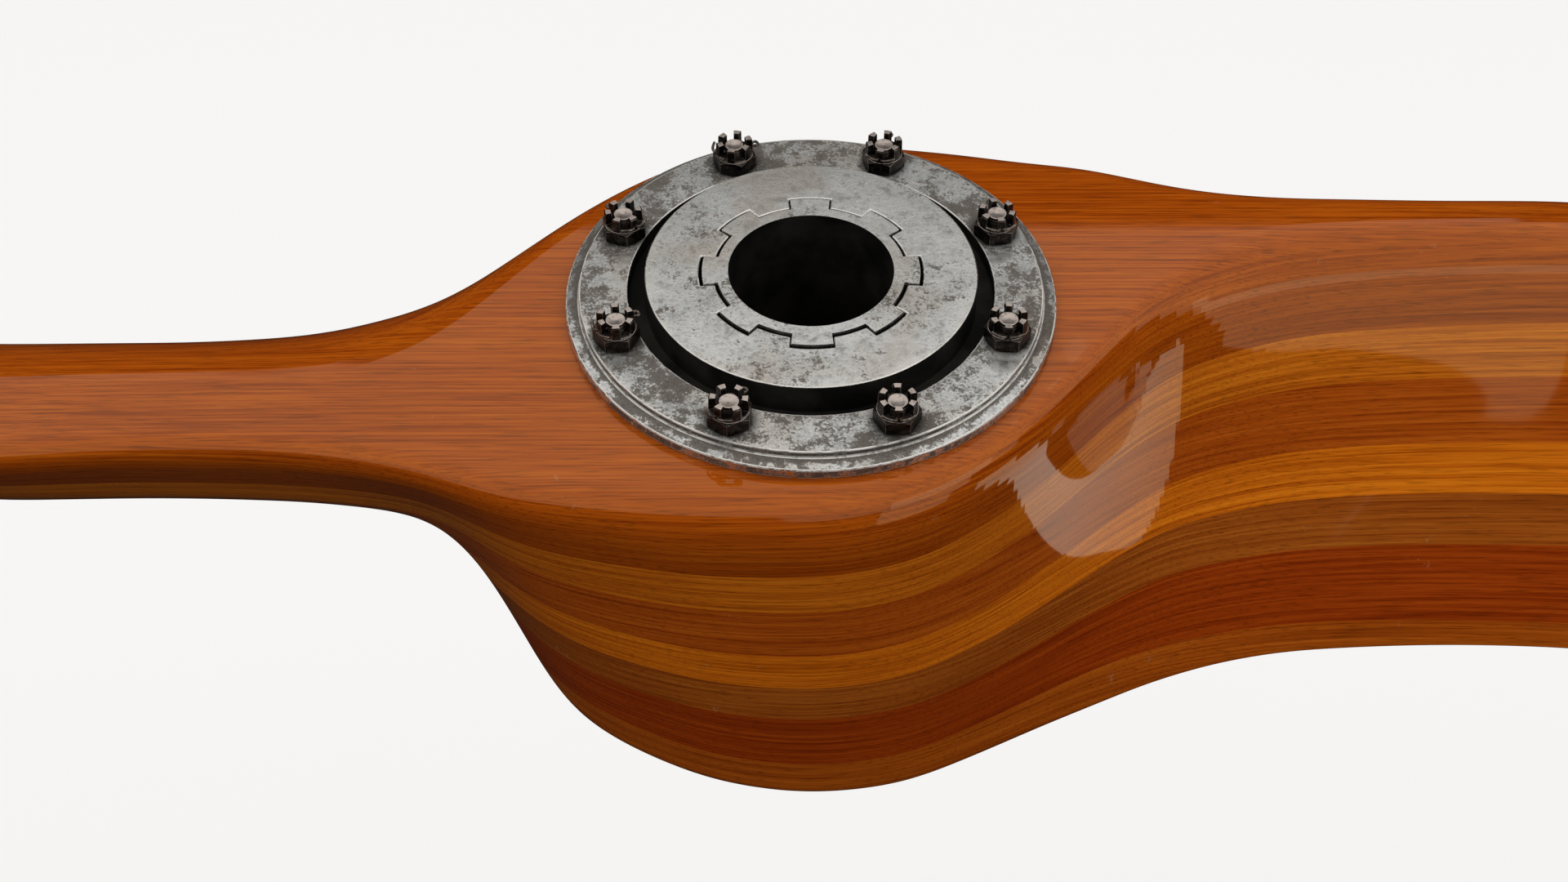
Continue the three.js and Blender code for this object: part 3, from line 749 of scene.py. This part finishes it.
def make_barrel(material):
    angles, teeth = tooth_ring(TOOTH_ROOT_R, TOOTH_TIP_R, 0)
    relief_r = TOOTH_ROOT_R - SPLINE_RELIEF
    relief_z = WOOD_FRONT_Z - 1
    teeth_z = WOOD_FRONT_Z + 0.3
    profile = [
        (BORE_R, 0), (REAR_SEAT_R, 0), (REAR_SEAT_R, REAR_SEAT_HEIGHT), (FLANGE_R, REAR_SEAT_HEIGHT),
        (FLANGE_R, WOOD_REAR_Z), (BARREL_R, WOOD_REAR_Z), (BARREL_R, relief_z), (relief_r, relief_z),
        (relief_r, teeth_z), (teeth, teeth_z), (teeth, NOSE_Z), (BORE_R, NOSE_Z),
    ]
    rings = [ring(r, z, angles) for r, z in profile]
    obj = new_object("turned_barrel", lathe_mesh("barrel", rings, True))
    soften_edges(obj, width_mm=0.45, segments=3)
    cut(obj, rods_mesh(bolt_rods(HOLE_R, REAR_SEAT_HEIGHT - OVERSHOOT, WOOD_REAR_Z + OVERSHOOT), segments=24))
    settle(obj, "hub_barrel", material)


# ---- fasteners, made on the axis and then set at their places ----
def hexagon(angles):
    """Distance from the axis to a hexagon's side, for flats one apart."""
    sector = (angles + math.pi / 6) % (math.pi / 3) - math.pi / 6
    return 0.5 / np.cos(np.pi / 6 - np.abs(sector))


def nut_mesh():
    """A castle nut: a hexagon with turned-off corners and a crown of six prongs."""
    hex_top = NUT_SEAT_Z + NUT_HEX_HEIGHT
    edge = PRONG_HALF_ANGLE
    hole_r = HOLE_R - 0.3
    within = [-30, -25, -20, -edge - 0.3, -edge + 0.3, -6, 0, 6, edge - 0.3, edge + 0.3, 20, 25]
    degrees = np.array([60 * i + a for i in range(6) for a in within])
    angles = np.radians(degrees)
    prong = np.abs((degrees + 30) % 60 - 30) < edge
    crown_top = np.where(prong, NUT_TOP_Z, hex_top + CROWN_FLOOR)
    shoulder = np.where(prong, NUT_TOP_Z - 0.5, hex_top + CROWN_FLOOR)
    side = hexagon(angles + math.pi / 6) * NUT_FLATS
    chamfer_drop = (side - NUT_FLATS / 2) * 0.55
    rings = [
        ring(hole_r, NUT_SEAT_Z, angles),
        ring(np.minimum(side, NUT_FLATS / 2 + 0.3), NUT_SEAT_Z, angles),
        ring(side, NUT_SEAT_Z + chamfer_drop * 0.6 + 0.15, angles),
        ring(side, hex_top - chamfer_drop - 0.2, angles),
        ring(np.minimum(side, NUT_FLATS / 2 - 0.1), hex_top, angles),
        ring(CROWN_R + 0.15, hex_top, angles),
        ring(CROWN_R, shoulder, angles),
        ring(CROWN_R - 0.5, crown_top, angles),
        ring(hole_r, crown_top, angles),
    ]
    return lathe_mesh("nut", rings, True)


def bolt_mesh():
    """A hexagon-headed bolt with a threaded end."""
    angles = np.linspace(0, 2 * math.pi, 48, endpoint=False)
    side = hexagon(angles) * NUT_FLATS
    drop = (side - NUT_FLATS / 2) * 0.6
    head_top = REAR_SEAT_HEIGHT
    rings = [
        ring(NUT_FLATS / 2 - 1.2, BOLT_LOW_Z, angles),
        ring(np.minimum(side, NUT_FLATS / 2 - 0.3), BOLT_LOW_Z, angles),
        ring(side, BOLT_LOW_Z + drop + 0.2, angles),
        ring(side, head_top, angles),
        ring(BOLT_R, head_top, angles),
        ring(BOLT_R, NUT_SEAT_Z, angles),
    ]
    z = NUT_SEAT_Z + THREAD_PITCH
    while z + THREAD_PITCH < BOLT_END_Z - 1:
        rings.append(ring(BOLT_R, z, angles))
        rings.append(ring(BOLT_R - THREAD_DEPTH, z + THREAD_PITCH / 2, angles))
        z += THREAD_PITCH
    rings += [
        ring(BOLT_R - 0.1, BOLT_END_Z - 1.1, angles),
        ring(BOLT_R - 0.9, BOLT_END_Z, angles),
        ring(BOLT_R - 1.9, BOLT_END_Z - 0.2, angles),
        ring(0.4, BOLT_END_Z - 0.45, angles),
    ]
    return lathe_mesh("bolt", rings, False)


def swept_mesh(name, points, radius):
    """A round wire along a smooth curve through the points."""
    curve = bpy.data.curves.new(name, "CURVE")
    curve.dimensions = "3D"
    curve.bevel_depth = radius * MM
    curve.bevel_resolution = 2
    curve.use_fill_caps = True
    curve.resolution_u = 4
    spline = curve.splines.new("NURBS")
    spline.points.add(len(points) - 1)
    for point, place in zip(spline.points, points):
        point.co = (*(c * MM for c in place), 1)
    spline.order_u = 4
    spline.use_endpoint_u = True
    holder = new_object(name, curve)
    graph = bpy.context.evaluated_depsgraph_get()
    mesh = bpy.data.meshes.new_from_object(holder.evaluated_get(graph))
    bpy.data.objects.remove(holder)
    return mesh


def pin_mesh():
    """A split pin of one folded wire: an eye, two halves through the bolt, and legs bent round the crown."""
    out = CROWN_R + 0.5
    half = []
    # Beyond the nut's crown, aside from the pin's middle plane, and above its middle.
    for x, y, dz in (
        (2.6, 0.0, 0.0), (2.4, 1.1, 0.05), (1.3, 1.75, 0.1), (0.3, 1.0, 0.05), (-0.6, 0.66, 0.0),
        (-4.0, 0.66, 0.0), (-8.5, 0.66, 0.0), (-13.0, 0.66, 0.0), (-16.8, 0.66, 0.0),
        (-18.4, 1.0, 0.0), (-18.6, 2.6, 0.15), (-17.7, 4.9, 0.35), (-16.2, 6.8, 0.5),
    ):
        half.append((out + x, y, PIN_Z + dz))
    other = [(x, -y, z) for x, y, z in half[1:]]
    return swept_mesh("pin", other[::-1] + half, PIN_WIRE_R)


def make_fasteners(nut_steel, wire):
    """Each kind of fastener: its name, mesh and material, and how far its edges are rounded."""
    kinds = (
        ("hub_bolt", bolt_mesh, nut_steel, 0.22),
        ("castle_nut", nut_mesh, nut_steel, 0.42),
        ("split_pin", pin_mesh, wire, 0),
    )
    for kind, make_mesh, material, softening in kinds:
        pattern = make_mesh()
        for i, (angle, turn) in enumerate(zip(bolt_angles(), NUT_TURNS)):
            mesh = pattern.copy()
            centre = Vector((math.cos(angle), math.sin(angle), 0)) * BOLT_CIRCLE_R * MM
            mesh.transform(Matrix.Translation(centre) @ Matrix.Rotation(math.radians(turn), 4, "Z"))
            obj = new_object(f"{kind}_{i + 1}_fine", mesh)
            if softening:
                # Rounded edges and level tops are marked for painted highlights.
                soften_edges(obj, softening)
                paint_top_highlight(obj.data, BOLT_END_Z - 0.8)
            for polygon in obj.data.polygons:
                polygon.use_smooth = True
            settle(obj, f"{kind}_{i + 1}", material)


# ---- camera, stage and light ----
def aim(obj, target):
    obj.rotation_euler = (Vector(target) - obj.location).to_track_quat("-Z", "Y").to_euler()


CAMERA_TARGET = (-0.012, -0.0859, WOOD_FRONT_Z * MM)
CAMERA_DISTANCE = 0.9
CAMERA_PITCH = math.radians(46.15)
CAMERA_YAW = math.radians(0.16)
LENS = 50
SENSOR_WIDTH = 36


def make_camera():
    """Looks down on the hub from the side of the trailing edge of the right-hand blade."""
    target = Vector(CAMERA_TARGET)
    level = math.cos(CAMERA_PITCH)
    towards = Vector((math.sin(CAMERA_YAW) * level, math.cos(CAMERA_YAW) * level, -math.sin(CAMERA_PITCH)))
    camera = bpy.data.objects.new("camera", bpy.data.cameras.new("camera"))
    camera.data.lens = LENS
    camera.data.sensor_width = SENSOR_WIDTH
    camera.location = target - towards * CAMERA_DISTANCE
    bpy.context.scene.collection.objects.link(camera)
    aim(camera, target)
    bpy.context.scene.camera = camera


def make_panel(name, centre, target, size, brightness, colour, turn=0, gloss_only=True):
    """A soft box of a given brightness, seen in gloss as an evenly lit rectangle, turned in its own plane."""
    light = bpy.data.lights.new(name, "AREA")
    light.shape = "RECTANGLE"
    light.size, light.size_y = size
    light.energy = brightness * math.pi * size[0] * size[1]
    light.color = colour
    panel = bpy.data.objects.new(name, light)
    panel.location = centre
    panel.visible_camera = False
    panel.visible_diffuse = not gloss_only
    bpy.context.scene.collection.objects.link(panel)
    away = Vector(centre) - Vector(target)
    upright = away.to_track_quat("Z", "Y")
    panel.rotation_euler = (upright @ Quaternion((0, 0, 1), math.radians(turn))).to_euler()


FLOOR_HALF_WIDTH = 300.0
FLOOR_Z = -0.9


def make_stage():
    """A pale floor well below the part, which neither lights it nor shows in its gloss."""
    far = FLOOR_HALF_WIDTH
    corners = [(-far, -far), (far, -far), (far, far), (-far, far)]
    mesh = bpy.data.meshes.new("floor")
    mesh.from_pydata([(x, y, FLOOR_Z) for x, y in corners], [], [(0, 1, 2, 3)])
    floor = new_object("floor", mesh)
    s = Shader("floor")
    s.shade(Base_Color=(0.30, 0.30, 0.30, 1), Roughness=0.9, Specular_IOR_Level=0.1,
            Emission_Color=(1, 1, 1, 1), Emission_Strength=0.62)
    floor.data.materials.append(s.material)
    floor.visible_diffuse = False
    floor.visible_glossy = False


SURROUND_LOW = (-0.6, 0.02)  # the upward part of a direction, and the light that comes from there
SURROUND_HIGH = (0.5, 0.75)
SURROUND_IN_GLOSS = 0.01
SURROUND_SEEN = 0.92


def make_surround():
    """Soft light from all round, brighter from above, that hardly shows in gloss; the camera sees it pale."""
    world = bpy.data.worlds.new("surround")
    bpy.context.scene.world = world
    world.use_nodes = True
    tree = world.node_tree
    direction = tree.nodes.new("ShaderNodeTexCoord").outputs["Generated"]
    spread = tree.nodes.new("ShaderNodeSeparateXYZ")
    tree.links.new(direction, spread.inputs[0])
    level = tree.nodes.new("ShaderNodeMapRange")
    for end, (upward, light) in (("Min", SURROUND_LOW), ("Max", SURROUND_HIGH)):
        level.inputs[f"From {end}"].default_value = upward
        level.inputs[f"To {end}"].default_value = light
    tree.links.new(spread.outputs[2], level.inputs["Value"])
    rays = tree.nodes.new("ShaderNodeLightPath")
    pick = tree.nodes.new("ShaderNodeMix")
    tree.links.new(rays.outputs["Is Glossy Ray"], pick.inputs[0])
    tree.links.new(level.outputs[0], pick.inputs[2])
    pick.inputs[3].default_value = SURROUND_IN_GLOSS
    seen = tree.nodes.new("ShaderNodeMix")
    tree.links.new(rays.outputs["Is Camera Ray"], seen.inputs[0])
    tree.links.new(pick.outputs[0], seen.inputs[2])
    seen.inputs[3].default_value = SURROUND_SEEN
    tree.links.new(seen.outputs[0], tree.nodes["Background"].inputs["Strength"])
    tree.nodes["Background"].inputs["Color"].default_value = (1.0, 0.98, 0.95, 1)


def make_lights():
    """One wide overhead soft box that lights everything, and three that only draw shapes in the gloss."""
    make_panel("overhead", centre=(0.0, 0.48, 2.2), target=(0, 0.48, 0), size=(8.0, 3.86),
               brightness=0.72, colour=(1.0, 0.96, 0.91), gloss_only=False)
    make_panel("low_patch", centre=(2.15, -0.42, -0.67), target=(0.13, -0.05, 0.13), size=(1.93, 0.45),
               brightness=1.45, colour=(0.92, 0.94, 0.90), turn=-54)
    make_panel("front_right", centre=(2.10, -1.73, 1.72), target=(0.2, -0.02, 0.15), size=(1.74, 2.01),
               brightness=0.85, colour=(1.0, 0.96, 0.91), turn=-32)
    make_panel("strip", centre=(0.546, 1.102, 1.676), target=(0.15, 0, 0.179), size=(0.73, 0.03),
               brightness=0.35, colour=(1.0, 0.96, 0.95), turn=-45)


bpy.context.scene.view_settings.view_transform = "Standard"
make_camera()
make_boards()
hub_steel = worn_steel("hub_steel")
make_front_flange(hub_steel)
make_barrel(hub_steel)
# Each steel's second colour is the colour of its painted highlights.
make_fasteners(
    dark_steel("fastener_steel", (0.050, 0.042, 0.036), (0.86, 0.76, 0.71)),
    dark_steel("pin_steel", (0.20, 0.17, 0.15), (0.80, 0.70, 0.65)),
)
make_stage()
make_surround()
make_lights()
